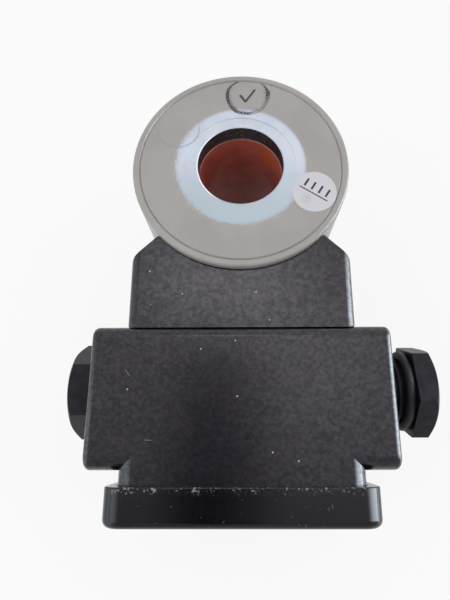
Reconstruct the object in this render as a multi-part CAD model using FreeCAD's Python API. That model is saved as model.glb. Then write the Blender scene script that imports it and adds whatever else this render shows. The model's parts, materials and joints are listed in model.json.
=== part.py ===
import FreeCAD, Part
import math
import os

# Solenoid coil with a moulded terminal box, for a cartridge valve.
# Millimetres. +Z runs along the coil's bore, towards its front face, and the origin is the centre of
# the bore at the coil's back face. The terminal box lies to -Y, and its cover closes the -Y end.

V = FreeCAD.Vector
X_AXIS, Y_AXIS, Z_AXIS = V(1, 0, 0), V(0, 1, 0), V(0, 0, 1)
SIDES = (-1, 1)

# ---------------------------------------------------------------- driving dimensions
# coil
coil_d = 63.0
coil_length = 52.0
bore_d = 25.0
shell_wall = 2.1
shell_edge_r = 0.8
plate_thick = 5.6
seam_bevel = 0.35
bobbin_wall = 1.6
flange_thick = 1.6
flange_margin = 1.85
potting_thick = 3.65
tape_thick = 0.4
label_d = 12.7
label_thick = 0.12
label_angle = -23.1
label_margin = 0.2
nut_seat_d = 32.0
nut_seat_depth = 0.1

# saddle between coil and terminal box
saddle_height = 16.0
saddle_inset = 0.8
saddle_step = 0.8
saddle_angle = 43.0
horn_flat = 0.5
shoulder_r = 4.0
saddle_groove = 0.4
saddle_edge_r = 2.6
saddle_pad_inset = 3.4
window_width = 16.0
window_length = 10.0

# terminal box
front_inset = 1.2
box_depth = 43.4
block_width = 79.2
entry_to_block_top = 15.2
entry_to_block_foot = 21.3
wing_edge_r = 1.6
block_rim_r = 3.0
block_foot_r = 3.5
neck_width = 61.8
neck_length = 5.0
neck_edge_r = 4.0
box_wall = 4.5
box_floor = 4.5
cavity_edge_r = 4.0

# cover
skirt_cover = 1.5
gasket_thick = 0.9
cover_plate = 6.8
skirt_wall = 2.4
cover_edge_r = 4.6
cover_rim_r = 2.0
skirt_edge_r = 0.3

# M20 x 1.5 screw plugs and their O-rings
thread_d = 20.0
thread_pitch = 1.5
thread_length = 14.0
thread_depth = 0.92
thread_crest_cut = 0.03
entry_bevel = 1.0
plug_head_af = 24.0
plug_head_thick = 5.9
plug_chamfer_d = 23.4
oring_section = 2.62
oring_inner_d = 18.0
left_plug_turns_out = 0.0
right_plug_turns_out = 4.0
left_plug_hex_angle = -2.8
right_plug_hex_angle = -13.0

# M4 cover screws and box fixing screws, with their brass inserts
m4_d = 4.0
m4_head_d = 7.0
m4_head_height = 4.0
m4_socket_af = 3.0
m4_head_bevel = 0.4
m4_head_recess = 0.2
counterbore_gap = 0.5
cover_screw_length = 16.0
cover_screw_inset = 5.6
screw_boss_r = 5.0
washer_thick = 0.8
insert_d = 5.8
insert_length = 9.0
fixing_spacing_x = 28.0
fixing_inset_z = 3.7
fixing_screw_length = 11.5
fixing_head_height = 2.4
slotted_rim_share = 0.3
slot_depth_share = 0.5
m4_slot_width = 0.9
m3_slot_width = 0.7

# board, terminals and what is on them
board_size_x = 47.0
board_size_z = 22.0
board_thick = 1.6
board_stand = 4.0
post_r = 3.2
post_spacing = 41.0
m3_d = 3.0
board_screw_head_d = 5.5
board_screw_head_height = 1.8
board_screw_length = 5.5
pole_count = 3
pole_pitch = 8.0
terminal_height = 13.0
terminal_depth = 13.0
terminal_end_wall = 0.6
pole_rib = 2.4
clamp_height = 6.2
clamp_length = 8.0
clamp_wall = 0.9
clamp_roof = 1.6
clamp_stand = 2.6
clamp_screw_out = 1.0
clamp_screw_head_d = 4.0
clamp_screw_head_height = 1.8
pin_d = 1.3
pin_spacing = 6.0
pin_offset_z = -8.5
pin_tail = 1.2
earth_pin_x = 10.5
rectifier_size = (8.0, 5.0, 6.6)
rectifier_offset_x = 1.0
rectifier_offset_z = 3.5
rectifier_bevel = 0.8
varistor_d = 7.5
varistor_thick = 4.0
varistor_rim_r = 0.6
varistor_offset_x = 2.0

# ---------------------------------------------------------------- clearances
seat_gap = 0.05       # pieces seated in one another
slip_gap = 0.10       # screws in holes, pins in holes, thread in its hole
skirt_gap = 0.30      # cover skirt round the neck
rest_gap = 0.10       # gasket to the neck's rim

# ---------------------------------------------------------------- derived places
coil_r = coil_d / 2
bore_r = bore_d / 2
plate_r = coil_r - shell_wall - seat_gap
tape_r = plate_r - potting_thick
winding_r = tape_r - tape_thick
flange_r = plate_r - flange_margin
label_orbit = plate_r - label_margin - label_d / 2
saddle_half_x = coil_r - saddle_step

box_front_z = coil_length - front_inset
box_back_z = box_front_z - box_depth
box_mid_z = (box_front_z + box_back_z) / 2
block_top_y = -(coil_r + saddle_height)
entry_y = block_top_y - entry_to_block_top
block_foot_y = entry_y - entry_to_block_foot
neck_rim_y = block_foot_y - neck_length
floor_y = block_top_y - box_floor
cavity_half_x = neck_width / 2 - box_wall
cavity_half_z = box_depth / 2 - box_wall
wing_face_x = block_width / 2

gasket_top_y = neck_rim_y - rest_gap
cover_seat_y = gasket_top_y - gasket_thick
cover_foot_y = cover_seat_y - cover_plate
skirt_top_y = neck_rim_y + skirt_cover
cover_half_x = neck_width / 2 + skirt_gap + skirt_wall
cover_half_z = box_depth / 2 + skirt_gap + skirt_wall
cover_screw_x = neck_width / 2 - cover_screw_inset
cover_screw_z = box_depth / 2 - cover_screw_inset
counterbore_depth = m4_head_height + washer_thick + m4_head_recess
screw_seat_y = cover_foot_y + counterbore_depth

board_near_y = floor_y - board_stand
board_far_y = board_near_y - board_thick
pin_z = box_mid_z + pin_offset_z
head_gap = oring_section + 2 * seat_gap
thread_r = thread_d / 2 - thread_crest_cut
thread_root_r = thread_d / 2 - thread_depth

terminal_half_x = pole_count * pole_pitch / 2 + terminal_end_wall
terminal_far_y = board_far_y - terminal_height
clamp_half_x = (pole_pitch - pole_rib) / 2 - seat_gap
clamp_near_y = board_far_y - clamp_stand
clamp_far_y = clamp_near_y - clamp_height


# ---------------------------------------------------------------- helpers
def block(x0, x1, y0, y1, z0, z1):
    return Part.makeBox(x1 - x0, y1 - y0, z1 - z0, V(x0, y0, z0))


def cylinder(radius, start, end):
    run = end - start
    return Part.makeCylinder(radius, run.Length, start, run)


def tube_z(outer_r, inner_r, z0, z1):
    return cylinder(outer_r, V(0, 0, z0), V(0, 0, z1)).cut(cylinder(inner_r, V(0, 0, z0 - 1), V(0, 0, z1 + 1)))


def edges_along(shape, axis, keep=lambda middle: True):
    found = []
    for edge in shape.Edges:
        if len(edge.Vertexes) < 2 or edge.Curve.TypeId != "Part::GeomLine":
            continue
        run = edge.Vertexes[1].Point - edge.Vertexes[0].Point
        if run.Length > 1e-6 and run.cross(axis).Length < 1e-6 * run.Length and keep(edge.CenterOfMass):
            found.append(edge)
    return found


def edges_at(shape, axis, place):
    """The edges that lie whole in the plane where the named coordinate has this value."""
    low, high = axis + "Min", axis + "Max"
    return [e for e in shape.Edges
            if abs(getattr(e.BoundBox, low) - place) < 1e-4 and abs(getattr(e.BoundBox, high) - place) < 1e-4]


def rounded_prism(half_x, y0, y1, z0, z1, radius):
    """A prism along Y whose four long edges are rounded."""
    prism = block(-half_x, half_x, y0, y1, z0, z1)
    return prism.makeFillet(radius, edges_along(prism, Y_AXIS))


def hex_prism(across_flats, start, end, angle=0.0):
    """A hexagonal prism. At angle 0 a flat looks along the direction that turned_frame calls x."""
    run = end - start
    corner_r = across_flats / math.sqrt(3)
    corners = []
    for i in range(7):
        a = math.radians(angle + 30 + 60 * i)
        corners.append(V(corner_r * math.cos(a), corner_r * math.sin(a), 0))
    face = Part.Face(Part.makePolygon(corners))
    prism = face.extrude(V(0, 0, run.Length))
    prism.Placement = FreeCAD.Placement(start, FreeCAD.Rotation(Z_AXIS, run))
    return prism


def group(solids):
    return Part.makeCompound(solids)


def one_solid(shape):
    """The single solid of a boolean result, with its split faces joined."""
    cleaned = shape.removeSplitter()
    return cleaned.Solids[0] if len(cleaned.Solids) == 1 else cleaned


def corner_places():
    """x and z of the four cover screws."""
    return [(sx * cover_screw_x, box_mid_z + sz * cover_screw_z) for sx in SIDES for sz in SIDES]


def fixing_places():
    """x and z of the four screws between box and saddle."""
    half_x, half_z = fixing_spacing_x / 2, cavity_half_z - fixing_inset_z
    return [(sx * half_x, box_mid_z + sz * half_z) for sx in SIDES for sz in SIDES]


def holes_along_y(places, radius, y0, y1):
    return [cylinder(radius, V(x, y0, z), V(x, y1, z)) for x, z in places]


def lead_places():
    return [(side * pin_spacing / 2, pin_z) for side in SIDES]


def pin_holes():
    """Holes for the two lead pins and the earth pin, all the way from the winding to the board."""
    places = lead_places() + [(earth_pin_x, pin_z)]
    return holes_along_y(places, pin_d / 2 + slip_gap, board_far_y - 1, -tape_r + 1)


# ---------------------------------------------------------------- coil
def coil_housing():
    shell = cylinder(coil_r, V(0, 0, 0), V(0, 0, coil_length))
    rims = [e for e in shell.Edges if e.Curve.TypeId == "Part::GeomCircle"]
    shell = shell.makeFillet(shell_edge_r, rims)
    shell = shell.cut(cylinder(coil_r - shell_wall, V(0, 0, -1), V(0, 0, coil_length + 1)))
    shell = one_solid(shell)
    inner_rims = [e for e in shell.Edges if e.Curve.TypeId == "Part::GeomCircle"
                  and abs(e.Curve.Radius - (coil_r - shell_wall)) < 1e-6]
    shell = shell.makeChamfer(seam_bevel, inner_rims)
    half_w, half_l = window_width / 2, window_length / 2
    window = block(-half_w, half_w, -coil_r - 1, -bore_r, pin_z - half_l, pin_z + half_l)
    return one_solid(shell.cut(window))


def pole_plate(z0, bobbin_face_z):
    """A steel end plate. Its rims are bevelled, but for the bore's mouth on the coil's outer face."""
    plate = tube_z(plate_r, bore_r, z0, z0 + plate_thick)
    rims = [e for e in plate.Edges if e.Curve.TypeId == "Part::GeomCircle"
            and (e.Curve.Radius > bore_r + 1 or abs(e.Curve.Center.z - bobbin_face_z) < 1e-6)]
    return plate.makeChamfer(seam_bevel, rims)


def front_pole_plate():
    """The plate at the front, with a shallow spot face round the bore for the coil nut."""
    plate = pole_plate(coil_length - plate_thick, coil_length - plate_thick)
    spot_face = cylinder(nut_seat_d / 2, V(0, 0, coil_length - nut_seat_depth), V(0, 0, coil_length + 1))
    return one_solid(plate.cut(spot_face))


def coil_bobbin():
    z0, z1 = plate_thick, coil_length - plate_thick
    spool = tube_z(bore_r + bobbin_wall, bore_r, z0, z1)
    low_flange = tube_z(flange_r, bore_r, z0, z0 + flange_thick)
    high_flange = tube_z(flange_r, bore_r, z1 - flange_thick, z1)
    spool = one_solid(spool.fuse([low_flange, high_flange]))
    ends = [e for e in spool.Edges if e.Curve.TypeId == "Part::GeomCircle"
            and abs(e.Curve.Radius - bore_r) < 1e-6]
    return spool.makeChamfer(seam_bevel / 2, ends)


def winding_space(inner_r, outer_r):
    z0 = plate_thick + flange_thick + seat_gap
    z1 = coil_length - plate_thick - flange_thick - seat_gap
    return tube_z(outer_r, inner_r, z0, z1)


def copper_winding():
    return winding_space(bore_r + bobbin_wall + seat_gap, winding_r)


def winding_tape():
    return winding_space(winding_r + seat_gap, tape_r)


def coil_potting():
    z0, z1 = plate_thick + seat_gap, coil_length - plate_thick - seat_gap
    cast = tube_z(plate_r, tape_r + seat_gap, z0, z1)
    low_seat = cylinder(flange_r + seat_gap, V(0, 0, z0 - 1), V(0, 0, plate_thick + flange_thick + seat_gap))
    high_seat = cylinder(flange_r + seat_gap, V(0, 0, coil_length - plate_thick - flange_thick - seat_gap),
                         V(0, 0, z1 + 1))
    return one_solid(cast.cut([low_seat, high_seat] + pin_holes()))


def inspection_label():
    angle = math.radians(label_angle)
    centre = V(label_orbit * math.cos(angle), label_orbit * math.sin(angle), coil_length)
    return cylinder(label_d / 2, centre, centre + V(0, 0, label_thick))


# ---------------------------------------------------------------- saddle and terminal box
def block_body(grow=0.0):
    """The wide block that holds the two cable entries, optionally grown on all sides."""
    half_x = wing_face_x + grow
    foot_y, top_y = block_foot_y - grow, block_top_y + grow
    body = block(-half_x, half_x, foot_y, top_y, box_back_z - grow, box_front_z + grow)
    for y, radius in ((foot_y, block_foot_r), (top_y, block_rim_r)):
        body = body.makeFillet(radius + grow, edges_along(body, X_AXIS, lambda m: abs(m.y - y) < 1e-3))
    return body.makeFillet(wing_edge_r + grow, edges_at(body, "X", -half_x) + edges_at(body, "X", half_x))


def saddle_plan(z0, z1):
    """Outline of the saddle seen along the bore: two horns, sloping shoulders, straight sides."""
    a = math.radians(saddle_angle)
    half = saddle_half_x
    tip = V(coil_r * math.cos(a), -coil_r * math.sin(a), z0)
    flat_end = tip + V(horn_flat, 0, 0)
    side_top = V(half, flat_end.y - (half - flat_end.x) * math.tan(a), z0)
    side_foot = V(half, block_top_y - block_rim_r, z0)
    right = [V(0, tip.y, z0), flat_end, side_top, side_foot]
    left = [V(-p.x, p.y, z0) for p in reversed(right[1:])]
    outline = Part.makePolygon([right[1], right[2], right[3]] + left + [right[1]])
    prism = Part.Face(outline).extrude(V(0, 0, z1 - z0))
    shoulders = edges_along(prism, Z_AXIS, lambda m: abs(m.y - side_top.y) < 1e-3)
    return prism.makeFillet(shoulder_r, shoulders)


def coil_saddle():
    z0, z1 = box_back_z + saddle_inset, box_front_z - saddle_inset
    sides = rounded_prism(saddle_half_x, block_top_y - block_rim_r, 0, z0, z1, saddle_edge_r)
    body = saddle_plan(z0, z1).common(sides)
    body = body.cut([cylinder(coil_r + seat_gap, V(0, 0, -1), V(0, 0, coil_length + 1)),
                     block_body(saddle_groove)])
    inset = saddle_pad_inset
    pad = block(-saddle_half_x + inset, saddle_half_x - inset, block_top_y, block_top_y + 2,
                z0 + inset, z1 - inset)
    half_w, half_l = window_width / 2 - seat_gap, window_length / 2 - seat_gap
    stub = block(-half_w, half_w, -coil_r - 1, -bore_r, pin_z - half_l, pin_z + half_l)
    stub = stub.cut(cylinder(plate_r + seat_gap, V(0, 0, 0), V(0, 0, coil_length)))
    body = body.fuse([pad, stub])
    body = body.cut(pin_holes() + holes_along_y(fixing_places(), insert_d / 2, block_top_y - 1,
                                                block_top_y + insert_length))
    return one_solid(body)


def threaded_insert(x, z, mouth_y, direction):
    foot = V(x, mouth_y + direction * insert_length, z)
    sleeve = cylinder(insert_d / 2, V(x, mouth_y, z), foot)
    return sleeve.cut(cylinder(m4_d / 2, V(x, mouth_y - direction, z), foot + V(0, direction, 0)))


def saddle_inserts():
    return group([threaded_insert(x, z, block_top_y, 1) for x, z in fixing_places()])


def cover_screw_inserts():
    return group([threaded_insert(x, z, neck_rim_y, 1) for x, z in corner_places()])


def entry_hole(side):
    """Cable entry through one wing, with a bevelled mouth. Its thread is left plain."""
    hole_r = thread_d / 2 + slip_gap
    mouth = V(side * wing_face_x, entry_y, box_mid_z)
    outwards = V(side, 0, 0)
    bore = cylinder(hole_r, V(side * (cavity_half_x - 1), entry_y, box_mid_z), mouth + outwards)
    bevel = Part.makeCone(hole_r, hole_r + entry_bevel, entry_bevel, mouth - outwards * (entry_bevel / 2), outwards)
    return bore.fuse(bevel)


def terminal_box():
    neck = rounded_prism(neck_width / 2, neck_rim_y, block_foot_y + block_foot_r + 1,
                         box_back_z, box_front_z, neck_edge_r)
    body = block_body().fuse(neck)
    cavity = rounded_prism(cavity_half_x, neck_rim_y - 1, floor_y, box_mid_z - cavity_half_z,
                           box_mid_z + cavity_half_z, cavity_edge_r)
    body = body.cut([cavity] + [entry_hole(side) for side in SIDES])
    boss_foot_y = neck_rim_y + cover_screw_length
    bosses = [b.common(cavity) for b in holes_along_y(corner_places(), screw_boss_r, neck_rim_y, boss_foot_y)]
    post_x = post_spacing / 2
    posts = holes_along_y([(side * post_x, box_mid_z) for side in SIDES], post_r, board_near_y, floor_y + 1)
    body = one_solid(body.fuse(bosses + posts))
    cuts = holes_along_y(corner_places(), insert_d / 2, neck_rim_y - 1, neck_rim_y + insert_length)
    cuts += holes_along_y(corner_places(), m4_d / 2 + slip_gap, neck_rim_y, neck_rim_y + cover_screw_length - 2)
    cuts += holes_along_y([(side * post_x, box_mid_z) for side in SIDES], m3_d / 2, board_near_y - 1,
                          board_near_y + board_screw_length)
    cuts += holes_along_y(fixing_places(), m4_d / 2 + slip_gap, floor_y - 1, block_top_y + 1)
    return one_solid(body.cut(cuts + pin_holes()))


def pan_screw(x, z, seat_y, shank_r, shank_length, head_r, head_height, slot=m4_slot_width):
    """A slotted screw along Y: its head stands towards -Y on seat_y and its shank runs to +Y."""
    head = cylinder(head_r, V(x, seat_y - head_height, z), V(x, seat_y, z))
    rim = [e for e in head.Edges if e.Curve.TypeId == "Part::GeomCircle"
           and abs(e.BoundBox.YMin - (seat_y - head_height)) < 1e-6]
    head = head.makeFillet(head_height * slotted_rim_share, rim)
    shank = cylinder(shank_r, V(x, seat_y, z), V(x, seat_y + shank_length, z))
    cut = block(x - head_r, x + head_r, seat_y - head_height - 1,
                seat_y - head_height * slot_depth_share,
                z - slot / 2, z + slot / 2)
    return one_solid(head.fuse(shank).cut(cut))


def box_fixing_screws():
    return group([pan_screw(x, z, floor_y, m4_d / 2 - seat_gap, fixing_screw_length, m4_head_d / 2,
                            fixing_head_height) for x, z in fixing_places()])


# ---------------------------------------------------------------- pins, board and terminals
def lead_pins():
    pins = []
    for x, z in lead_places():
        pin = cylinder(pin_d / 2, V(x, board_far_y - pin_tail, z), V(x, -winding_r, z))
        pins.append(pin.cut(cylinder(tape_r + seat_gap, V(0, 0, 0), V(0, 0, coil_length))))
    return group(pins)


def earth_pin():
    pin = cylinder(pin_d / 2, V(earth_pin_x, board_far_y - pin_tail, pin_z), V(earth_pin_x, -winding_r, pin_z))
    return pin.cut(cylinder(coil_r, V(0, 0, 0), V(0, 0, coil_length)))


def terminal_board():
    half_x, half_z = board_size_x / 2, board_size_z / 2
    board = block(-half_x, half_x, board_far_y, board_near_y, box_mid_z - half_z, box_mid_z + half_z)
    screws = [(side * post_spacing / 2, box_mid_z) for side in SIDES]
    return board.cut(pin_holes() + holes_along_y(screws, m3_d / 2 + slip_gap, board_far_y - 1, board_near_y + 1))


def board_screws():
    return group([pan_screw(side * post_spacing / 2, box_mid_z, board_far_y, m3_d / 2 - seat_gap,
                            board_screw_length, board_screw_head_d / 2, board_screw_head_height, m3_slot_width)
                  for side in SIDES])


def pole_places():
    return [(i - (pole_count - 1) / 2) * pole_pitch for i in range(pole_count)]


def terminal_block():
    half_z = terminal_depth / 2
    body = block(-terminal_half_x, terminal_half_x, terminal_far_y, board_far_y, box_mid_z - half_z, box_mid_z + half_z)
    cuts = []
    for x in pole_places():
        half_pocket = clamp_half_x + seat_gap
        cuts.append(block(x - half_pocket, x + half_pocket, clamp_far_y - seat_gap, clamp_near_y + seat_gap,
                          box_mid_z - half_z - 1, box_mid_z + half_z + 1))
        cuts.append(cylinder(clamp_screw_head_d / 2 + slip_gap, V(x, terminal_far_y - 1, box_mid_z),
                             V(x, clamp_far_y, box_mid_z)))
    return one_solid(body.cut(cuts))


def terminal_clamps():
    cages = []
    half_z = clamp_length / 2
    for x in pole_places():
        cage = block(x - clamp_half_x, x + clamp_half_x, clamp_far_y, clamp_near_y,
                     box_mid_z - half_z, box_mid_z + half_z)
        way = block(x - clamp_half_x + clamp_wall, x + clamp_half_x - clamp_wall,
                    clamp_far_y + clamp_roof, clamp_near_y - clamp_wall, box_mid_z - half_z - 1, box_mid_z + half_z + 1)
        screw_hole = cylinder(m3_d / 2, V(x, clamp_far_y - 1, box_mid_z), V(x, clamp_near_y - 2, box_mid_z))
        cages.append(one_solid(cage.cut([way, screw_hole])))
    return group(cages)


def terminal_screws():
    seat_y = clamp_far_y - clamp_screw_out
    length = clamp_height - clamp_wall - clamp_screw_out
    return group([pan_screw(x, box_mid_z, seat_y, m3_d / 2 - seat_gap, length, clamp_screw_head_d / 2,
                            clamp_screw_head_height, m3_slot_width) for x in pole_places()])


def bridge_rectifier():
    size_x, size_y, size_z = rectifier_size
    x1 = -terminal_half_x - rectifier_offset_x
    z0 = box_mid_z + rectifier_offset_z
    body = block(x1 - size_x, x1, board_far_y - size_y, board_far_y, z0, z0 + size_z)
    top_edge = edges_along(body, X_AXIS, lambda m: m.y < board_far_y - 1 and m.z > z0 + 1)
    return body.makeChamfer(rectifier_bevel, top_edge)


def varistor():
    x0 = terminal_half_x + varistor_offset_x
    z = box_mid_z + board_size_z / 2 - varistor_d / 2
    y = board_far_y - varistor_d / 2
    disc = cylinder(varistor_d / 2, V(x0, y, z), V(x0 + varistor_thick, y, z))
    rims = [e for e in disc.Edges if e.Curve.TypeId == "Part::GeomCircle"]
    return disc.makeFillet(varistor_rim_r, rims)


# ---------------------------------------------------------------- cover
def box_cover():
    cover = rounded_prism(cover_half_x, cover_foot_y, skirt_top_y, box_mid_z - cover_half_z,
                          box_mid_z + cover_half_z, cover_edge_r)
    cover = cover.makeFillet(cover_rim_r, edges_at(cover, "Y", cover_foot_y))
    cover = cover.makeFillet(skirt_edge_r, edges_at(cover, "Y", skirt_top_y))
    recess = rounded_prism(neck_width / 2 + skirt_gap, cover_seat_y, skirt_top_y + 1,
                           box_back_z - skirt_gap, box_front_z + skirt_gap, neck_edge_r + skirt_gap)
    cuts = [recess]
    cuts += holes_along_y(corner_places(), m4_head_d / 2 + counterbore_gap, cover_foot_y - 1,
                           screw_seat_y)
    cuts += holes_along_y(corner_places(), m4_d / 2 + 2 * slip_gap, screw_seat_y - 1, cover_seat_y + 1)
    return one_solid(cover.cut(cuts))


def cover_gasket():
    gap = skirt_gap + seat_gap
    sheet = rounded_prism(neck_width / 2 - gap, cover_seat_y, gasket_top_y, box_back_z + gap,
                          box_front_z - gap, neck_edge_r)
    opening = rounded_prism(cavity_half_x, cover_seat_y - 1, gasket_top_y + 1, box_mid_z - cavity_half_z,
                            box_mid_z + cavity_half_z, cavity_edge_r)
    lands = holes_along_y(corner_places(), screw_boss_r, cover_seat_y - 1, gasket_top_y + 1)
    sheet = sheet.cut(opening.cut(lands))
    return one_solid(sheet.cut(holes_along_y(corner_places(), m4_d / 2 + 2 * slip_gap, cover_seat_y - 1,
                                             gasket_top_y + 1)))


def socket_screw(x, z):
    """A cover screw: cylindrical head with a hexagon socket, shank towards the box."""
    under = screw_seat_y - washer_thick
    top = under - m4_head_height
    head = cylinder(m4_head_d / 2, V(x, top, z), V(x, under, z))
    rim = [e for e in head.Edges if e.Curve.TypeId == "Part::GeomCircle"
           and abs(e.BoundBox.YMin - top) < 1e-6]
    head = head.makeChamfer(m4_head_bevel, rim)
    shank = cylinder(m4_d / 2 - seat_gap, V(x, under, z), V(x, under + cover_screw_length, z))
    socket = hex_prism(m4_socket_af, V(x, top - 0.5, z), V(x, top + m4_head_height * slot_depth_share, z))
    return one_solid(head.fuse(shank).cut(socket))


def cover_screws():
    return group([socket_screw(x, z) for x, z in corner_places()])


def cover_screw_washers():
    rings = []
    for x, z in corner_places():
        ring = cylinder(m4_head_d / 2, V(x, screw_seat_y - washer_thick, z), V(x, screw_seat_y, z))
        rings.append(ring.cut(cylinder(m4_d / 2 + slip_gap, V(x, screw_seat_y - washer_thick - 1, z),
                                       V(x, screw_seat_y + 1, z))))
    return group(rings)


# ---------------------------------------------------------------- screw plugs
def threaded_shank():
    """Shank with a right-hand helical thread. The head's underside is z = 0 and the tip lies at -Z."""
    undercut = oring_section + 3 * seat_gap
    flank = math.tan(math.radians(30))
    crest = thread_pitch / 8
    sink = 0.2
    foot_r = thread_root_r - sink
    foot_half = crest / 2 + (thread_r - foot_r) * flank
    profile = Part.makePolygon([V(foot_r, 0, -foot_half), V(thread_r, 0, -crest / 2), V(thread_r, 0, crest / 2),
                                V(foot_r, 0, foot_half), V(foot_r, 0, -foot_half)])
    run = thread_length + 2 * thread_pitch
    helix = Part.makeHelix(thread_pitch, run, foot_r)
    ridge = Part.Wire(helix.Edges).makePipeShell([profile], True, True)
    ridge.translate(V(0, 0, -thread_length - thread_pitch))
    core = cylinder(thread_root_r, V(0, 0, -thread_length - 3 * thread_pitch), V(0, 0, 3 * thread_pitch))
    bevel = thread_r - thread_root_r
    neck_r = oring_inner_d / 2 - slip_gap
    outline = [V(0, 0, -thread_length), V(thread_root_r, 0, -thread_length),
               V(thread_r + 0.1, 0, -thread_length + bevel), V(thread_r + 0.1, 0, -undercut - bevel),
               V(neck_r, 0, -undercut), V(neck_r, 0, 1), V(0, 0, 1), V(0, 0, -thread_length)]
    blank = Part.Face(Part.makePolygon(outline)).revolve(V(0, 0, 0), Z_AXIS, 360)
    return core.fuse(ridge).common(blank)


def screw_plug(side, turns_out, hex_angle):
    head = hex_prism(plug_head_af, V(0, 0, 0), V(0, 0, plug_head_thick), hex_angle)
    corner_r = plug_head_af / math.sqrt(3) + 1
    drop = (corner_r - plug_chamfer_d / 2) * math.tan(math.radians(30))
    outer = cylinder(corner_r, V(0, 0, -1), V(0, 0, plug_head_thick - drop))
    outer = outer.fuse(Part.makeCone(corner_r, plug_chamfer_d / 2, drop, V(0, 0, plug_head_thick - drop)))
    plug = one_solid(head.common(outer).fuse(threaded_shank()))
    plug.Placement = plug_placement(side, turns_out)
    return plug


def plug_placement(side, turns_out):
    reach = wing_face_x + head_gap + turns_out * thread_pitch
    turn = FreeCAD.Rotation(V(0, 0, side), V(0, 1, 0), V(side, 0, 0), "ZYX")
    return FreeCAD.Placement(V(side * reach, entry_y, box_mid_z), turn)


def plug_seal(side, turns_out):
    ring = Part.makeTorus(oring_inner_d / 2 + oring_section / 2, oring_section / 2)
    ring.translate(V(0, 0, -seat_gap - oring_section / 2))
    ring.Placement = plug_placement(side, turns_out).multiply(ring.Placement)
    return ring


# ---------------------------------------------------------------- nodes
nodes = {
    "coil_housing": coil_housing(),
    "front_pole_plate": front_pole_plate(),
    "rear_pole_plate": pole_plate(0.0, plate_thick),
    "coil_bobbin": coil_bobbin(),
    "copper_winding": copper_winding(),
    "winding_tape": winding_tape(),
    "coil_potting": coil_potting(),
    "inspection_label": inspection_label(),
    "coil_saddle": coil_saddle(),
    "saddle_inserts": saddle_inserts(),
    "terminal_box": terminal_box(),
    "box_fixing_screws": box_fixing_screws(),
    "lead_pins": lead_pins(),
    "earth_pin": earth_pin(),
    "terminal_board": terminal_board(),
    "board_screws": board_screws(),
    "terminal_block": terminal_block(),
    "terminal_clamps": terminal_clamps(),
    "terminal_screws": terminal_screws(),
    "bridge_rectifier": bridge_rectifier(),
    "varistor": varistor(),
    "box_cover": box_cover(),
    "cover_gasket": cover_gasket(),
    "cover_screws": cover_screws(),
    "cover_screw_washers": cover_screw_washers(),
    "cover_screw_inserts": cover_screw_inserts(),
    "left_plug": screw_plug(-1, left_plug_turns_out, left_plug_hex_angle),
    "left_plug_seal": plug_seal(-1, left_plug_turns_out),
    "right_plug": screw_plug(1, right_plug_turns_out, right_plug_hex_angle),
    "right_plug_seal": plug_seal(1, right_plug_turns_out),
}

os.makedirs("parts", exist_ok=True)
for name, shape in nodes.items():
    shape.exportStep("parts/" + name + ".step")
    box = shape.BoundBox
    print("%-20s valid %s solids %d volume %9.1f  x %7.2f %7.2f  y %7.2f %7.2f  z %6.2f %6.2f" % (
        name, shape.isValid(), len(shape.Solids), shape.Volume,
        box.XMin, box.XMax, box.YMin, box.YMax, box.ZMin, box.ZMax))
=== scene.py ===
"""Looks of a solenoid coil with a moulded terminal box, on a pale table under soft light.

Blender units are metres. Patterns are laid out in millimetres, in the frame of the model: +Z runs
along the coil's bore towards its front face, and the terminal box lies towards -Y.
"""
import json
import math

import bpy
from mathutils import Matrix, Vector


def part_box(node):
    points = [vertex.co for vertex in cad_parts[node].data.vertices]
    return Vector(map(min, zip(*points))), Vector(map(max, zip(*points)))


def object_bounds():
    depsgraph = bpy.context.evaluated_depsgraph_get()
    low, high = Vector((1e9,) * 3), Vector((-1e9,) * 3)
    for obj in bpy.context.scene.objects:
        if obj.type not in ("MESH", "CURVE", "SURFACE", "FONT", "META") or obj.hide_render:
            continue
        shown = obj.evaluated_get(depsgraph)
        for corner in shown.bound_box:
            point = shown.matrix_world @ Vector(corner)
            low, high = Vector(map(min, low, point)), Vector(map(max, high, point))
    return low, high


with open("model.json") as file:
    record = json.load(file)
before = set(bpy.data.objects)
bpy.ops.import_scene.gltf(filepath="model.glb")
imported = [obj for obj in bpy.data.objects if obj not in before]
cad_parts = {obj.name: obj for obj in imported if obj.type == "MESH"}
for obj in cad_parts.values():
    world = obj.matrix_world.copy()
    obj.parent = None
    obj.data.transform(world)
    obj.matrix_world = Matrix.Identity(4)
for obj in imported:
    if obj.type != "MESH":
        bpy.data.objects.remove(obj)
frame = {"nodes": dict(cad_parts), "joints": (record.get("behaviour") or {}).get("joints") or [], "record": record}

cad_box = [list(corner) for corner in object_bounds()]
NODES = frame["nodes"]
MM = 0.001


def node_box_mm(name):
    """Lowest and highest corner of a node, in millimetres."""
    low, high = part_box(name)
    return [c / MM for c in low], [c / MM for c in high]


# ---------------------------------------------------------------- places read from the model
mount_at = {mount["name"]: mount for mount in frame["record"]["mounts"]}
joint_at = {joint["name"]: joint for joint in frame["joints"]}
bore_r = mount_at["coil_bore"]["dims"]["r_mm"]
_, entry_y, entry_z = (c / MM for c in joint_at["left_plug_turn"]["pos_m"])
coil_top = node_box_mm("coil_housing")[1][2]
cover_skirt, cover_front = node_box_mm("box_cover")[1][1:]
label_x, label_y, _ = ((low + high) / 2 for low, high in zip(*node_box_mm("inspection_label")))


def tone(red, green, blue):
    """A colour given as it shows on a screen, 0 to 255, turned into linear light with alpha 1."""
    shares = (c / 255 for c in (red, green, blue))
    return tuple(c / 12.92 if c <= 0.04045 else ((c + 0.055) / 1.055) ** 2.4 for c in shares) + (1.0,)


# ---------------------------------------------------------------- a small language for node trees
FACTOR, UNDER, OVER, MIXED = 0, 6, 7, 2  # the sockets of a Mix node that mixes colours
MIRROR_RAYS = ("Is Glossy Ray", "Is Transmission Ray")


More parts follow.
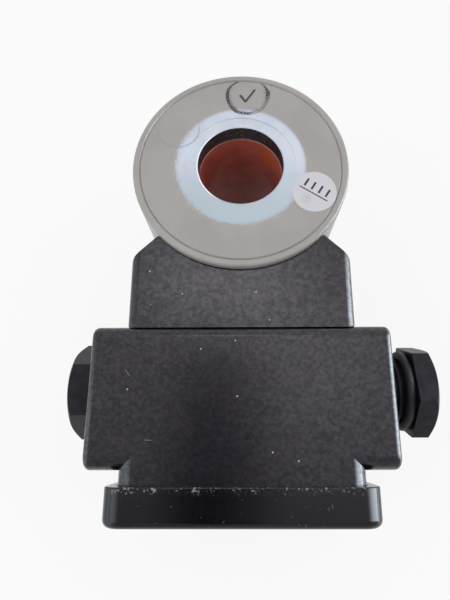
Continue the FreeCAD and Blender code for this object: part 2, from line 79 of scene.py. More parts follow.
class Tree:
    """A node tree written as sums. A value is a number, a colour or the socket of another node."""

    def __init__(self, tree):
        self.tree = tree

    def add(self, kind, settings=None, **inputs):
        """A node of that kind. Inputs are values, with _ for a space in a socket's name."""
        node = self.tree.nodes.new(kind)
        for key, value in (settings or {}).items():
            setattr(node, key, value)
        for key, value in inputs.items():
            self.feed(node.inputs[key.replace("_", " ")], value)
        return node

    def feed(self, socket, value):
        """Links a socket to another node's, or sets it to a plain value."""
        if isinstance(value, bpy.types.NodeSocket):
            self.tree.links.new(value, socket)
        else:
            socket.default_value = value

    def vector(self, operation, first, second=None, **inputs):
        """A sum of vectors. A distance comes out as a number."""
        node = self.add("ShaderNodeVectorMath", {"operation": operation}, **inputs)
        self.feed(node.inputs[0], first)
        if second is not None:
            self.feed(node.inputs[1], second)
        return node.outputs["Value" if operation == "DISTANCE" else "Vector"]

    def math(self, operation, *values):
        """A sum of numbers."""
        node = self.add("ShaderNodeMath", {"operation": operation})
        for socket, value in zip(node.inputs, values):
            self.feed(socket, value)
        return node.outputs[0]

    def rise(self, value, low, high):
        """0 below low and 1 above high, smooth between. It falls from 1 to 0 where low is above high."""
        node = self.add("ShaderNodeMapRange", {"interpolation_type": "SMOOTHSTEP"}, Value=value)
        start, end = (0.0, 1.0) if low < high else (1.0, 0.0)
        node.inputs["From Min"].default_value = min(low, high)
        node.inputs["From Max"].default_value = max(low, high)
        node.inputs["To Min"].default_value = start
        node.inputs["To Max"].default_value = end
        return node.outputs["Result"]

    def both(self, *masks):
        """The product of masks."""
        product = masks[0]
        for mask in masks[1:]:
            product = self.math("MULTIPLY", product, mask)
        return product

    def either(self, *masks):
        """The highest of masks."""
        highest = masks[0]
        for mask in masks[1:]:
            highest = self.math("MAXIMUM", highest, mask)
        return highest

    def share(self, value, factor):
        """A value times a factor."""
        return self.math("MULTIPLY", value, factor)

    def between(self, factor, low, high):
        """A number that goes from low to high as the factor goes from 0 to 1."""
        return self.math("MULTIPLY_ADD", factor, high - low, low)

    def apart(self, value, middle):
        """How far a value is from the middle, whichever way."""
        return self.math("ABSOLUTE", self.math("SUBTRACT", value, middle))

    def flat(self, x, y):
        """A vector in the XY plane."""
        return self.add("ShaderNodeCombineXYZ", X=x, Y=y, Z=0.0).outputs[0]

    def mix(self, factor, under, over):
        """A colour that goes from under to over as the factor goes from 0 to 1."""
        node = self.add("ShaderNodeMix", {"data_type": "RGBA"})
        self.feed(node.inputs[FACTOR], factor)
        self.feed(node.inputs[UNDER], under)
        self.feed(node.inputs[OVER], over)
        return node.outputs[MIXED]

    def arrives(self, *kinds):
        """1 for a ray of one of these kinds, and 0 for any other."""
        path = self.add("ShaderNodeLightPath")
        return self.either(*(path.outputs[kind] for kind in kinds))


class Finish(Tree):
    """One procedural material. Its patterns read the Object coordinates, scaled to millimetres."""

    def __init__(self, name, colour, roughness, metallic=0.0, coat=0.0, specular=0.5):
        self.material = bpy.data.materials.new(name)
        self.material.use_nodes = True
        super().__init__(self.material.node_tree)
        self.shader = self.tree.nodes["Principled BSDF"]
        self.shader.inputs["Base Color"].default_value = colour
        self.shader.inputs["Roughness"].default_value = roughness
        self.shader.inputs["Metallic"].default_value = metallic
        self.shader.inputs["Coat Weight"].default_value = coat
        self.shader.inputs["Coat Roughness"].default_value = 0.12
        self.shader.inputs["Specular IOR Level"].default_value = specular
        coordinates = self.add("ShaderNodeTexCoord").outputs["Object"]
        self.place = self.vector("SCALE", coordinates, Scale=1 / MM)
        self.x, self.y, self.z = self.add("ShaderNodeSeparateXYZ", Vector=self.place).outputs
        self.normal = None

    def noise(self, per_mm, detail=2.0, place=None, roughness=0.5):
        """Soft noise from 0 to 1, with so many features to the millimetre."""
        node = self.add("ShaderNodeTexNoise", Vector=place or self.place, Scale=per_mm, Detail=detail,
                        Roughness=roughness)
        return node.outputs["Fac"]

    def cells(self, per_mm, place=None):
        """Scattered cells: the distance from the nearest centre, and a lot from 0 to 1 for each cell."""
        node = self.add("ShaderNodeTexVoronoi", {"feature": "F1"}, Vector=place or self.place, Scale=per_mm)
        lot = self.add("ShaderNodeSeparateXYZ", Vector=node.outputs["Color"]).outputs["X"]
        return node.outputs["Distance"], lot

    def round_from(self, x, y):
        """Distance in the XY plane from a point."""
        return self.vector("DISTANCE", self.flat(self.x, self.y), (x, y, 0.0))

    def stroke(self, start, end, width, soft=0.08):
        """A straight line between two points of the XY plane, with soft edges and ends."""
        run = math.hypot(end[0] - start[0], end[1] - start[1])
        ux, uy = (end[0] - start[0]) / run, (end[1] - start[1]) / run
        dx, dy = self.math("SUBTRACT", self.x, start[0]), self.math("SUBTRACT", self.y, start[1])
        along = self.math("ADD", self.share(dx, ux), self.share(dy, uy))
        off = self.apart(self.share(dx, uy), self.share(dy, ux))
        beyond = self.apart(along, run / 2)
        return self.both(self.rise(off, width / 2 + soft, width / 2 - soft),
                         self.rise(beyond, run / 2 + soft, run / 2 - soft))

    def relief(self, height, depth_mm, strength=1.0):
        """Adds a bump of that depth on top of what is there."""
        inputs = {"Height": height, "Distance": depth_mm * MM, "Strength": strength}
        if self.normal is not None:
            inputs["Normal"] = self.normal
        self.normal = self.add("ShaderNodeBump", **inputs).outputs["Normal"]
        self.feed(self.shader.inputs["Normal"], self.normal)

    def colour(self, value):
        """Sets the base colour."""
        self.feed(self.shader.inputs["Base Color"], value)

    def gloss(self, value):
        """Sets the roughness: the lower, the glossier."""
        self.feed(self.shader.inputs["Roughness"], value)

    def metal(self, value):
        """Sets how metallic the surface is."""
        self.feed(self.shader.inputs["Metallic"], value)


# ---------------------------------------------------------------- coil finishes
PAINT = tone(171, 166, 158)
PAINT_DUSTY = tone(164, 160, 153)
ZINC = tone(192, 200, 206)
ZINC_DULL = tone(176, 186, 193)
# painted shade for the lower part of the zinc zone
ZINC_PAINTED_SHADE = tone(172, 184, 188)
# painted shade in the bore, its brownish tint a painted reflection of the bobbin
BORE_WALL_SHADE = tone(44, 36, 38)
MARKER = tone(38, 38, 44)
# painted highlight round the bore's mouth, brighter on the left and dimmer on the right
MOUTH_HIGHLIGHT_LEFT = tone(250, 252, 255)
MOUTH_HIGHLIGHT_RIGHT = tone(120, 124, 132)
BARE_R, BARE_SOFT = 18.9, 0.7
RAGGED, FUZZY = (0.6, 4.6), (0.4, 4.4)  # how far the paint's edge strays, least and at the lower left


def satin_paint(name):
    """Warm grey paint with a faint orange peel and slow changes of tone."""
    paint = Finish(name, PAINT, 0.34, specular=0.45)
    tint = paint.rise(paint.noise(0.07, 3.0), 0.35, 0.65)
    paint.base = paint.mix(tint, PAINT_DUSTY, PAINT)
    paint.colour(paint.base)
    paint.relief(paint.noise(0.9, 2.0), 0.02, 0.5)
    return paint


def bare_zone(plate, radius):
    """1 on the bare zinc round the bore and 0 on the paint, with a sprayed edge between."""
    angle = plate.math("ARCTAN2", plate.y, plate.x)
    spray = plate.flat(plate.share(angle, 9.0), plate.share(radius, 0.45))
    streaks = plate.math("MULTIPLY_ADD", plate.noise(1.7, 3.0, spray, 0.7), 0.5,
                         plate.share(plate.noise(1.5, 3.0, roughness=0.75), 0.5))
    lower_left = plate.rise(plate.math("ADD", plate.share(plate.x, 0.8), plate.y), 12.0, -8.0)
    ragged = plate.share(plate.math("SUBTRACT", streaks, 0.5), plate.between(lower_left, *RAGGED))
    speckle = plate.math("SUBTRACT", plate.noise(2.6, 2.0), 0.5)
    fuzz = plate.share(speckle, plate.between(lower_left, *FUZZY))
    edge = plate.math("ADD", radius, plate.math("ADD", ragged, fuzz))
    return plate.rise(edge, BARE_R + BARE_SOFT, BARE_R - BARE_SOFT)


def plate_finish(name, marked):
    """Painted end plate with a bare zinc zone round the bore, darker towards its foot as painted shade, a painted
    highlight round the mouth that is brightest on the left, and a bore wall painted dark as shade with a painted
    brown reflection.
    """
    plate = satin_paint(name)
    radius = plate.round_from(0.0, 0.0)
    bare = bare_zone(plate, radius)
    rings = plate.noise(1.0, 3.0, plate.flat(plate.share(radius, 5.0), 0.0), 0.6)
    zinc = plate.mix(plate.rise(plate.noise(0.16, 2.0), 0.3, 0.7), ZINC_DULL, ZINC)
    zinc = plate.mix(plate.share(rings, 0.25), zinc, tone(232, 236, 242))
    # Painted shade: the zinc is made darker towards the foot of the face.
    zinc = plate.mix(plate.rise(plate.y, 4.0, -14.0), zinc, ZINC_PAINTED_SHADE)
    colour = plate.mix(bare, plate.base, zinc)
    wall = plate.rise(radius, bore_r + 0.06, bore_r + 0.02)
    # Painted shade: the bore wall is coloured near-black with grey flecks, its brownish tint a painted reflection
    # of the bobbin.
    mottle = plate.mix(plate.rise(plate.noise(1.3, 4.0), 0.45, 0.75), BORE_WALL_SHADE, tone(96, 84, 86))
    # Painted highlight: a thin bright ring round the bore's mouth, brightest towards the left.
    mouth = plate.rise(radius, bore_r + 0.45, bore_r + 0.25)
    left = plate.rise(plate.x, -4.0, -9.5)
    colour = plate.mix(plate.both(mouth, plate.between(left, 0.25, 0.9)), colour,
                       plate.mix(left, MOUTH_HIGHLIGHT_RIGHT, MOUTH_HIGHLIGHT_LEFT))
    if marked:
        colour = face_marks(plate, colour, bare)
    colour = plate.mix(wall, colour, mottle)
    plate.colour(colour)
    plate.metal(plate.both(bare, plate.between(wall, 0.55, 0.3)))
    plate.gloss(plate.math("ADD", plate.between(bare, 0.36, 0.42), plate.share(rings, 0.06)))
    plate.relief(plate.both(rings, bare), 0.012, 0.6)
    return plate.material


RING_CENTRE, RING_R = (2.2, 23.65), 6.2
PEN_THIN, PEN_HEAVY = 0.24, 0.58  # half the width of the pen's line
SECOND_LINE = 0.95  # how far inside the ring the pen went round again
TICK = (((-2.3, 0.5), (-0.6, -2.0), 0.80), ((-0.7, -2.0), (2.3, 2.5), 0.72))  # from, to, width
GHOST_CENTRE, GHOST_R = (-18.4, 12.2), 6.1


def pen_ring(plate):
    """A hand-drawn ring, heavier at its foot, broken and fainter at its lower right."""
    wobble = plate.share(plate.math("SUBTRACT", plate.noise(0.22, 1.0), 0.5), 1.2)
    from_ring = plate.math("ADD", plate.round_from(*RING_CENTRE), wobble)
    side = plate.math("SUBTRACT", plate.x, RING_CENTRE[0])
    above = plate.math("SUBTRACT", plate.y, RING_CENTRE[1])
    heavy = plate.rise(plate.math("SUBTRACT", plate.math("ABSOLUTE", side), above), 0.0, 6.0)
    half_width = plate.between(heavy, PEN_THIN, PEN_HEAVY)
    off = plate.math("SUBTRACT", plate.apart(from_ring, RING_R), half_width)
    ring = plate.rise(off, 0.10, -0.10)
    pen_skips = plate.rise(plate.noise(1.5, 3.0), 0.30, 0.46)
    lower_right = plate.rise(plate.math("SUBTRACT", side, above), 5.6, 8.2)
    kept = plate.either(pen_skips, plate.math("SUBTRACT", 1.0, lower_right))
    grain = plate.between(plate.rise(plate.noise(2.4, 2.0), 0.3, 0.6), 0.45, 1.1)
    ring = plate.both(ring, kept, grain, plate.between(lower_right, 1.0, 0.45))
    second = plate.rise(plate.apart(from_ring, RING_R - SECOND_LINE), 0.26, 0.08)
    again = plate.both(second, plate.rise(plate.noise(1.3, 2.0), 0.42, 0.56), heavy)
    return plate.either(ring, plate.share(again, 0.6))


def pen_tick(plate):
    """A tick inside the ring."""
    cx, cy = RING_CENTRE
    strokes = []
    for (x0, y0), (x1, y1), width in TICK:
        strokes.append(plate.stroke((cx + x0, cy + y0), (cx + x1, cy + y1), width))
    return plate.both(plate.either(*strokes), plate.between(plate.noise(2.5, 2.0), 0.65, 1.2))


def label_ghost(plate, colour, bare):
    """The trace of a round label that was peeled off: a paler disc in a thin dark line."""
    from_ghost = plate.round_from(*GHOST_CENTRE)
    line = plate.rise(plate.apart(from_ghost, GHOST_R), 0.32, 0.05)
    line = plate.both(line, plate.rise(plate.y, GHOST_CENTRE[1] + 4.0, GHOST_CENTRE[1] - 2.0))
    disc = plate.rise(from_ghost, GHOST_R, GHOST_R - 0.3)
    colour = plate.mix(plate.share(disc, 0.03), colour, tone(225, 230, 236))
    return plate.mix(plate.both(line, plate.between(bare, 0.20, 0.5)), colour, tone(112, 118, 136))


def face_marks(plate, colour, bare):
    """The pen's ring and tick and the label's trace, on the front face alone."""
    colour = label_ghost(plate, colour, bare)
    front = plate.rise(plate.z, coil_top - 0.3, coil_top - 0.1)
    pen = plate.both(plate.either(pen_ring(plate), pen_tick(plate)), front)
    return plate.mix(pen, colour, MARKER)


PAINTED_GLOW_ANGLE, PAINTED_GLOW_DEPTH = 0.85, 11.0  # where the painted orange glow lies, in radians and down the bore: painted light through the brown wall
PAINTED_RIM_HIGHLIGHT_DEPTH = 6.6  # how far down the bore the painted highlight on the bobbin's front edge begins


def bobbin_finish():
    """Glossy red-brown moulding, with a painted orange glow of light down the bore and a painted highlight on its
    front edge at the mouth.
    """
    bobbin = Finish("bobbin_moulding", tone(140, 76, 62), 0.45, specular=0.12)
    angle = bobbin.math("ARCTAN2", bobbin.y, bobbin.x)
    # Painted light: an orange glow down the bore, standing in for light through the brown wall.
    warm = bobbin.rise(bobbin.apart(angle, PAINTED_GLOW_ANGLE), 0.42, 0.0)
    depth = bobbin.rise(bobbin.apart(bobbin.z, coil_top - PAINTED_GLOW_DEPTH), 7.0, 0.0)
    painted_glow = bobbin.both(warm, depth, bobbin.between(bobbin.noise(0.25), 0.4, 1.3))
    brown = bobbin.mix(bobbin.rise(bobbin.noise(0.12, 3.0), 0.35, 0.7), tone(176, 92, 78), tone(208, 110, 86))
    # Painted highlight: the bobbin's front edge is made paler.
    rim = bobbin.rise(bobbin.z, coil_top - PAINTED_RIM_HIGHLIGHT_DEPTH, coil_top - PAINTED_RIM_HIGHLIGHT_DEPTH + 0.7)
    brown = bobbin.mix(bobbin.share(rim, 0.6), brown, tone(196, 150, 134))
    bobbin.colour(bobbin.mix(bobbin.share(painted_glow, 0.8), brown, tone(214, 104, 40)))
    bobbin.relief(bobbin.noise(0.5, 2.0), 0.03, 0.4)
    return bobbin.material


LABEL_SLOPE = math.radians(-33.0)
RULE_START, RULE_END, RULE_LOW, RULE_WIDTH = -4.4, 4.6, -0.65, 0.36
BARS, BAR_START, BAR_PITCH, BAR_FOOT, BAR_TOP, BAR_WIDTH = 4, -3.4, 2.3, 0.2, 2.8, 0.62
SMUDGE_AT = (-0.9, -3.0)


def label_finish():
    """Off-white paper dot with four plain bars over a rule, and a grey smudge. No words or figures."""
    paper = Finish("label_paper", tone(210, 208, 209), 0.6)
    along = (math.cos(LABEL_SLOPE), math.sin(LABEL_SLOPE))
    up = (-along[1], along[0])

    def spot(u, v):
        """A point of the label, from its distances along the print and up it."""
        return label_x + u * along[0] + v * up[0], label_y + u * along[1] + v * up[1]

    ink = [paper.stroke(spot(RULE_START, RULE_LOW), spot(RULE_END, RULE_LOW), RULE_WIDTH, 0.06)]
    for k in range(BARS):
        u = BAR_START + BAR_PITCH * k
        ink.append(paper.stroke(spot(u, BAR_FOOT), spot(u, BAR_TOP), BAR_WIDTH, 0.06))
    smudge = paper.rise(paper.round_from(*spot(*SMUDGE_AT)), 1.9, 1.1)
    base = paper.mix(paper.share(smudge, 0.35), tone(211, 209, 210), tone(174, 173, 177))
    base = paper.mix(paper.share(paper.noise(0.7, 3.0), 0.18), base, tone(240, 240, 240))
    paper.colour(paper.mix(paper.either(*ink), base, tone(34, 32, 36)))
    paper.relief(paper.noise(2.5, 2.0), 0.02, 0.4)
    return paper.material


# ---------------------------------------------------------------- box finishes
SCRATCHES = (((-30.1, -59.1), (-28.7, -60.9)), ((-24.2, -76.7), (-22.4, -76.8)))
COAT_LEAST, COAT_MOST = 0.46, 1.10
RIM_HEIGHT, SCUFF_REACH = 2.4, 2.6  # how far scuffs go from the skirt's edge, and back from the front


def moulded_charcoal(name):
    """Glass-filled moulding: a dark mottle with pale specks, two scratches and a faint parting line.

    The grain shows mostly as a clear coat that is stronger in some places than in others.
    """
    box = Finish(name, tone(30, 29, 32), 0.30, specular=0.15)
    box.shader.inputs["Coat Roughness"].default_value = 0.15
    fine = box.rise(box.noise(0.95, 4.0, roughness=0.70), 0.36, 0.66)
    coarse = box.rise(box.noise(0.30, 4.0, roughness=0.6), 0.28, 0.76)
    slow = box.rise(box.noise(0.06, 2.0), 0.40, 0.62)
    flecks = box.math("MULTIPLY_ADD", coarse, 0.35, box.share(fine, 0.65))
    base = box.mix(flecks, tone(9, 8, 12), tone(29, 26, 34))
    base = box.mix(box.share(slow, 0.25), base, tone(30, 25, 29))
    from_centre, lot = box.cells(0.21)
    specks = box.both(box.rise(from_centre, 0.060, 0.035), box.rise(lot, 0.45, 0.60))
    base = box.mix(box.share(specks, 0.75), base, tone(190, 190, 195))
    scratches = [box.stroke(start, end, 0.14, 0.07) for start, end in SCRATCHES]
    base = box.mix(box.share(box.either(*scratches), 0.30), base, tone(200, 200, 205))
    seam = box.rise(box.apart(box.y, entry_y), 0.28, 0.06)
    base = box.mix(box.share(seam, 0.20), base, tone(16, 15, 18))
    box.colour(base)
    sheen = box.math("MULTIPLY_ADD", coarse, 0.25, box.share(fine, 0.75))
    box.feed(box.shader.inputs["Coat Weight"], box.between(sheen, COAT_LEAST, COAT_MOST))
    box.relief(box.noise(0.85, 3.0, roughness=0.6), 0.012, 0.5)
    box.relief(seam, 0.015, 0.5)
    return box.material


def cover_finish():
    """Smooth black moulding. Pale scuffs crowd the front of the skirt's rim, and a few lie beside them."""
    cover = Finish("cover_moulding", tone(12, 12, 15), 0.22, specular=0.38)
    warp = cover.add("ShaderNodeTexNoise", Vector=cover.place, Scale=2.0, Detail=2.0).outputs["Color"]
    bent = cover.vector("ADD", cover.place, cover.vector("SCALE", warp, Scale=1.4))
    from_centre, lot = cover.cells(1.15, bent)
    size = cover.between(cover.noise(0.5, 2.0), -0.35, 0.85)
    chips = cover.rise(cover.math("SUBTRACT", from_centre, size), 0.05, -0.05)
    rim = cover.rise(cover.y, cover_skirt - RIM_HEIGHT, cover_skirt - 0.2)
    front = cover.rise(cover.z, cover_front - SCUFF_REACH, cover_front - 0.6)
    frequent = cover.rise(cover.math("SUBTRACT", lot, cover.share(rim, 0.75)), 0.22, 0.16)
    scuffs = cover.both(chips, frequent, front, rim)
    stray = cover.both(chips, cover.rise(lot, 0.94, 0.95), front)
    dust = cover.both(cover.rise(cover.noise(2.6, 3.0), 0.55, 0.75), rim, front)
    marks = cover.either(scuffs, cover.share(stray, 0.35), cover.share(dust, 0.35))
    base = cover.mix(cover.rise(cover.noise(0.1, 3.0), 0.35, 0.7), tone(8, 8, 11), tone(15, 15, 19))
    cover.colour(cover.mix(cover.share(marks, 0.55), base, tone(170, 168, 172)))
    cover.gloss(cover.math("ADD", cover.between(cover.noise(0.8, 3.0), 0.12, 0.20), cover.share(marks, 0.3)))
    cover.relief(cover.noise(0.7, 2.0), 0.008, 0.5)
    return cover.material


def plug_finish():
    """Black moulding of the screw plugs, in two close tones with a fine grain."""
    plug = Finish("plug_moulding", tone(30, 31, 35), 0.38, specular=0.16)
    tint = plug.rise(plug.noise(0.35, 3.0), 0.3, 0.7)
    plug.colour(plug.mix(tint, tone(24, 25, 29), tone(38, 39, 44)))
    plug.gloss(plug.between(tint, 0.34, 0.44))
    plug.relief(plug.noise(1.6, 3.0), 0.010, 0.5)
    return plug.material


# ---------------------------------------------------------------- inner finishes
def plain_finish(name, dark, light, roughness, metallic=0.0, grain=0.8, coat=0.0):
    """A two-tone finish for small inner pieces, with a slight grain in colour, gloss and relief."""
    finish = Finish(name, dark, roughness, metallic, coat)
    tint = finish.rise(finish.noise(grain, 3.0), 0.3, 0.7)
    finish.colour(finish.mix(tint, dark, light))
    finish.gloss(finish.between(tint, roughness - 0.06, roughness + 0.08))
    finish.relief(finish.noise(grain * 3, 2.0), 0.015, 0.4)
    return finish.material


def board_finish():
    """Green solder mask with brighter copper tracks beneath it."""
    board = Finish("solder_mask", tone(20, 92, 48), 0.3, coat=0.3)
    wander = board.share(board.noise(0.15), 9.0)
    bands = board.math("SINE", board.math("ADD", board.share(board.x, 2.1), wander))
    track = board.rise(bands, 0.55, 0.75)
    board.colour(board.mix(track, tone(16, 78, 42), tone(44, 128, 66)))
    board.relief(track, 0.03, 0.5)
    return board.material


WIRE_PITCH = 0.5


def winding_finish():
    """Enamelled copper, with a ridge for each turn of wire, painted darker between the turns as shade and lighter
    on their crests as highlight.
    """
    wire = Finish("enamelled_copper", tone(150, 76, 40), 0.3, metallic=0.8)
    turns = wire.math("SINE", wire.share(wire.z, 2 * math.pi / WIRE_PITCH))
    # Painted shade and highlight: darker in the grooves between turns, lighter on their crests.
    wire.colour(wire.mix(wire.rise(turns, -1.0, 1.0), tone(96, 42, 22), tone(178, 96, 52)))
    wire.relief(turns, 0.08)
    return wire.material


FINISHES = {
    "coil_housing": satin_paint("coil_paint").material,
    "front_pole_plate": plate_finish("front_plate", marked=True),
    "rear_pole_plate": plate_finish("rear_plate", marked=False),
    "coil_bobbin": bobbin_finish(),
    "inspection_label": label_finish(),
    "copper_winding": winding_finish(),
    "winding_tape": plain_finish("polyester_tape", tone(188, 160, 74), tone(206, 180, 96), 0.35),
    "coil_potting": plain_finish("potting_resin", tone(24, 24, 26), tone(36, 36, 38), 0.35),
    "coil_saddle": moulded_charcoal("saddle_moulding"),
    "terminal_box": moulded_charcoal("box_moulding"),
    "box_cover": cover_finish(),
    "terminal_board": board_finish(),
    "terminal_block": plain_finish("polyamide", tone(150, 152, 154), tone(172, 173, 174), 0.5),
    "bridge_rectifier": plain_finish("epoxy_black", tone(22, 22, 24), tone(36, 36, 38), 0.3, coat=0.2),
    "varistor": plain_finish("epoxy_blue", tone(30, 74, 150), tone(44, 92, 172), 0.28, coat=0.3),
}
brass = plain_finish("turned_brass", tone(176, 138, 70), tone(204, 168, 96), 0.3, 0.9)
zinc_steel = plain_finish("zinc_plated_screws", tone(160, 164, 170), tone(196, 200, 206), 0.32, 0.85)
dark_steel = plain_finish("stainless_screws", tone(104, 104, 108), tone(136, 136, 140), 0.34, 0.9)
tinned = plain_finish("tinned_pins", tone(150, 146, 140), tone(186, 182, 176), 0.3, 0.9)
rubber = plain_finish("black_rubber", tone(20, 20, 22), tone(32, 32, 34), 0.62)
plug_black = plug_finish()
SHARED = {
    brass: ("saddle_inserts", "cover_screw_inserts", "terminal_clamps"),
    zinc_steel: ("box_fixing_screws", "board_screws", "terminal_screws", "cover_screw_washers"),
    dark_steel: ("cover_screws",),
    tinned: ("lead_pins", "earth_pin"),
    rubber: ("cover_gasket", "left_plug_seal", "right_plug_seal"),
    plug_black: ("left_plug", "right_plug"),
}
for finish, names in SHARED.items():
    for name in names:
        FINISHES[name] = finish
for name, obj in NODES.items():
    obj.data.materials.clear()
    obj.data.materials.append(FINISHES[name])


# ---------------------------------------------------------------- table, light and camera
WHITE = (1.0, 1.0, 1.0, 1.0)
TABLE_HALF, TABLE_DROP = 3.0, 0.0001  # half the table's side, and how far it lies under the coil
TABLE_MATT, TABLE_GLOW = (0.86, 0.86, 0.86, 1.0), 0.86

# Overhead a direction is given by its slopes x/z and y/z.
LEAST_RISE = 0.02  # z is taken as this much at least
ROOM_LOW, ROOM_HIGH, ROOM_TURN = 0.55, 0.98, 0.25
ROOM_LEFT, LEFT_TURN = 0.82, 0.20
GAP_AT, GAP_SPREAD, GAP_SOFT, GAP_DEPTH = (-0.065, -0.50), (0.105, 0.78), 0.42, 1.0
GLOWS = (((-0.05, 0.34), (0.15, 0.11), 1.85), ((0.16, 0.16), (0.10, 0.14), 0.52))  # at, spread, gain
GLOW_SOFT = 0.8
# At the sides a direction is given by its x and y: where the pane or wall is missing, and where it is full.
WINDOW_ACROSS, WINDOW_MIDDLE, WINDOW_REACH = (0.38, 0.95), 0.06, (0.42, 0.15)
WALL_ACROSS, WALL_ALONG = (-0.35, -0.85), (0.40, -0.10)
WINDOW_MATT, WINDOW_MIRRORED, WALL_LEVEL = 1.2, 10.0, 1.1
MIRROR_GAIN = 0.31
ROOM_TINT, WINDOW_TINT = (0.965, 0.94, 1.0, 1.0), (0.78, 0.90, 1.0, 1.0)

# Each lamp: name, place, width and height, radiance, colour, and whether matt surfaces receive its light.
LAMPS = (
    ("window_sill", (0.17, -0.04, 0.023), (0.30, 0.042), 2.5, (0.90, 0.96, 1.0), False),
    ("sky_left", (-0.45, -0.20, 0.55), (0.40, 0.40), 0.9, (1.0, 1.0, 1.0), True),
)

CAMERA_AT = (0.69, -76.68, 121.31)  # millimetres, its height counted from the coil's front face
CAMERA_TURNS = (("Y", 0.678), ("X", 16.396), ("Z", -0.102))  # degrees, the outermost first
CAMERA_LENS, CAMERA_SHIFT, CAMERA_NEAR = 28.49, -0.0221, 0.005


def pale_table():
    """A wide white floor just under the coil's back face.

    Rays from the camera, mirrors and glass find it mostly glowing white, and the rest of it is matt
    and takes the object's shadow.
    """
    level = cad_box[0][2] - TABLE_DROP
    corners = [(x * TABLE_HALF, y * TABLE_HALF, level) for x, y in ((-1, -1), (1, -1), (1, 1), (-1, 1))]
    mesh = bpy.data.meshes.new("table_top")
    mesh.from_pydata(corners, [], [(0, 1, 2, 3)])
    table = bpy.data.objects.new("table_top", mesh)
    bpy.context.scene.collection.objects.link(table)
    white = bpy.data.materials.new("table_white")
    white.use_nodes = True
    white.node_tree.nodes.clear()
    tree = Tree(white.node_tree)
    matt = tree.add("ShaderNodeBsdfDiffuse", Color=TABLE_MATT)
    glow = tree.add("ShaderNodeEmission", Color=WHITE, Strength=1.0)
    seen = tree.arrives("Is Camera Ray", *MIRROR_RAYS)
    blend = tree.add("ShaderNodeMixShader", Fac=tree.share(seen, TABLE_GLOW))
    tree.feed(blend.inputs[1], matt.outputs[0])
    tree.feed(blend.inputs[2], glow.outputs[0])
    tree.add("ShaderNodeOutputMaterial", Surface=blend.outputs[0])
    mesh.materials.append(white)


def soft_box(target, name, place, size, radiance, colour, matt):
    """A rectangular lamp that looks at the target, its power worked out from how bright its face is.

    With matt off it shows in gloss alone.
    """
    lamp = bpy.data.lights.new(name, "AREA")
    lamp.shape = "RECTANGLE"
    lamp.size, lamp.size_y = size
    lamp.energy = radiance * math.pi * size[0] * size[1]
    lamp.color = colour
    obj = bpy.data.objects.new(name, lamp)
    bpy.context.scene.collection.objects.link(obj)
    look = Vector(target) - Vector(place)
    obj.matrix_world = Matrix.Translation(place) @ look.to_track_quat("-Z", "Y").to_matrix().to_4x4()
    obj.visible_camera = False
    obj.visible_diffuse = matt


def overhead(room, slopes, centre, spread, soft):
    """1 inside an ellipse of slopes, falling to 0 over its soft rim."""
    squares = []
    for slope, middle, reach in zip(slopes, centre, spread):
        away = room.math("DIVIDE", room.math("SUBTRACT", slope, middle), reach)
        squares.append(room.math("POWER", away, 2.0))
    radius = room.math("POWER", room.math("ADD", *squares), 0.5)
    return room.rise(radius, 1.0 + soft, 1.0 - soft)


def ceiling_level(room, x, y, z):
    """How bright the room is overhead: brighter towards +Y and +X, with two glows and a dark gap."""
    height = room.math("MAXIMUM", z, LEAST_RISE)
    slopes = room.math("DIVIDE", x, height), room.math("DIVIDE", y, height)
    to_right = room.rise(slopes[0], -LEFT_TURN, LEFT_TURN)
    to_coil = room.rise(slopes[1], -ROOM_TURN, ROOM_TURN)
    level = room.math("ADD", room.share(to_coil, ROOM_HIGH - ROOM_LOW), ROOM_LOW)
    level = room.share(level, room.math("ADD", room.share(to_right, 1.0 - ROOM_LEFT), ROOM_LEFT))
    gap = room.share(overhead(room, slopes, GAP_AT, GAP_SPREAD, GAP_SOFT), GAP_DEPTH)
    level = room.share(level, room.math("SUBTRACT", 1.0, gap))
    for centre, spread, gain in GLOWS:
        glow = overhead(room, slopes, centre, spread, GLOW_SOFT)
        level = room.math("ADD", level, room.share(glow, gain))
    return level


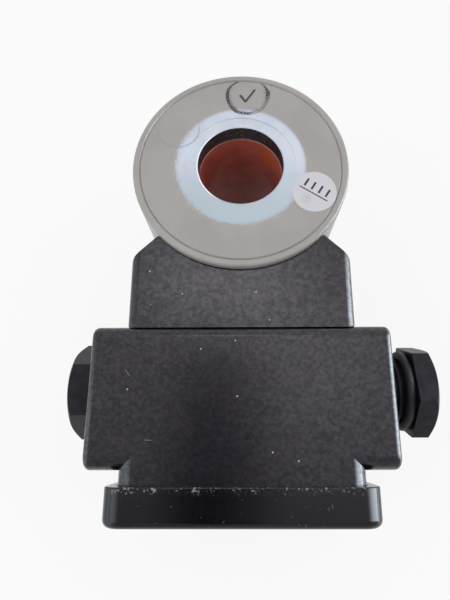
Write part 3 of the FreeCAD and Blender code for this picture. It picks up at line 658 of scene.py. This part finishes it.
def room_light():
    """A pale room with a window at the right and a pale wall at the left.

    The camera finds it plain white. Mirrors and glass find the lit room: a little brighter than matt
    surfaces do, and its window much brighter.
    """
    world = bpy.data.worlds.new("pale_room")
    bpy.context.scene.world = world
    world.use_nodes = True
    room = Tree(world.node_tree)
    direction = room.add("ShaderNodeTexCoord").outputs["Generated"]
    x, y, z = room.add("ShaderNodeSeparateXYZ", Vector=direction).outputs
    level = ceiling_level(room, x, y, z)
    window = room.both(room.rise(x, *WINDOW_ACROSS), room.rise(room.apart(y, WINDOW_MIDDLE), *WINDOW_REACH))
    wall = room.both(room.rise(x, *WALL_ACROSS), room.rise(y, *WALL_ALONG))
    level = room.math("ADD", level, room.share(wall, WALL_LEVEL))
    mirrored = room.arrives(*MIRROR_RAYS)
    pane = room.math("ADD", room.share(mirrored, WINDOW_MIRRORED - WINDOW_MATT), WINDOW_MATT)
    level = room.math("ADD", level, room.share(window, pane))
    level = room.share(level, room.math("ADD", room.share(mirrored, MIRROR_GAIN), 1.0))
    camera_ray = room.arrives("Is Camera Ray")
    tint = room.mix(room.either(window, wall), ROOM_TINT, WINDOW_TINT)
    lit = room.share(level, room.math("SUBTRACT", 1.0, camera_ray))
    background = world.node_tree.nodes["Background"]
    room.feed(background.inputs["Color"], room.mix(camera_ray, tint, WHITE))
    room.feed(background.inputs["Strength"], room.math("ADD", lit, camera_ray))


def set_camera():
    """A close camera above the terminal box, looking down and a little towards the coil."""
    camera = bpy.data.cameras.new("camera")
    camera.lens = CAMERA_LENS
    camera.shift_x = CAMERA_SHIFT
    camera.clip_start = CAMERA_NEAR
    obj = bpy.data.objects.new("camera", camera)
    bpy.context.scene.collection.objects.link(obj)
    tilt = Matrix.Identity(3)
    for axis, degrees in CAMERA_TURNS:
        tilt = tilt @ Matrix.Rotation(math.radians(degrees), 3, axis)
    across, along, above = CAMERA_AT
    place = Vector((across, along, above + coil_top)) * MM
    obj.matrix_world = Matrix.Translation(place) @ tilt.to_4x4()
    bpy.context.scene.camera = obj


pale_table()
room_light()
box_centre = (0.0, entry_y * MM, entry_z * MM)
for lamp in LAMPS:
    soft_box(box_centre, *lamp)
set_camera()
bpy.context.scene.view_settings.view_transform = "Standard"
